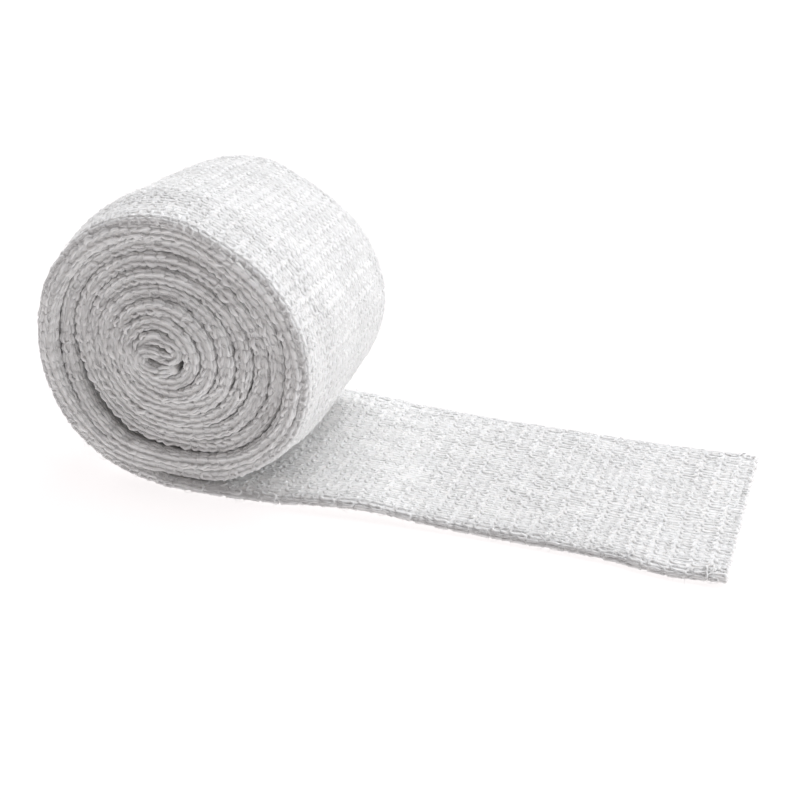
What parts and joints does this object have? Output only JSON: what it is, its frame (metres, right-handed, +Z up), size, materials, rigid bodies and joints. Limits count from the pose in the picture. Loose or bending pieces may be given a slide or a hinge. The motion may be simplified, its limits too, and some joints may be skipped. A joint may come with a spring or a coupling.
{
  "type": "tubular net bandage",
  "caption": "Knitted tubular net bandage, pressed flat and wound into a soft roll, with its free end lying out flat beside it.",
  "frame": {"origin": "middle of the whole bandage's box, on the surface it lies on", "axes": "+X along the free end, from the roll to the cut; +Y across the width of the pressed tube, along the roll's axis, to the back; +Z up"},
  "size_m": [0.1516, 0.0546, 0.0647],
  "materials": {
    "knit_cotton": "matte white knitted yarn, slightly fuzzy"
  },
  "bodies": {
    "root": {"wound_roll": "knit_cotton", "free_end": "knit_cotton"}
  },
  "joints": []
}
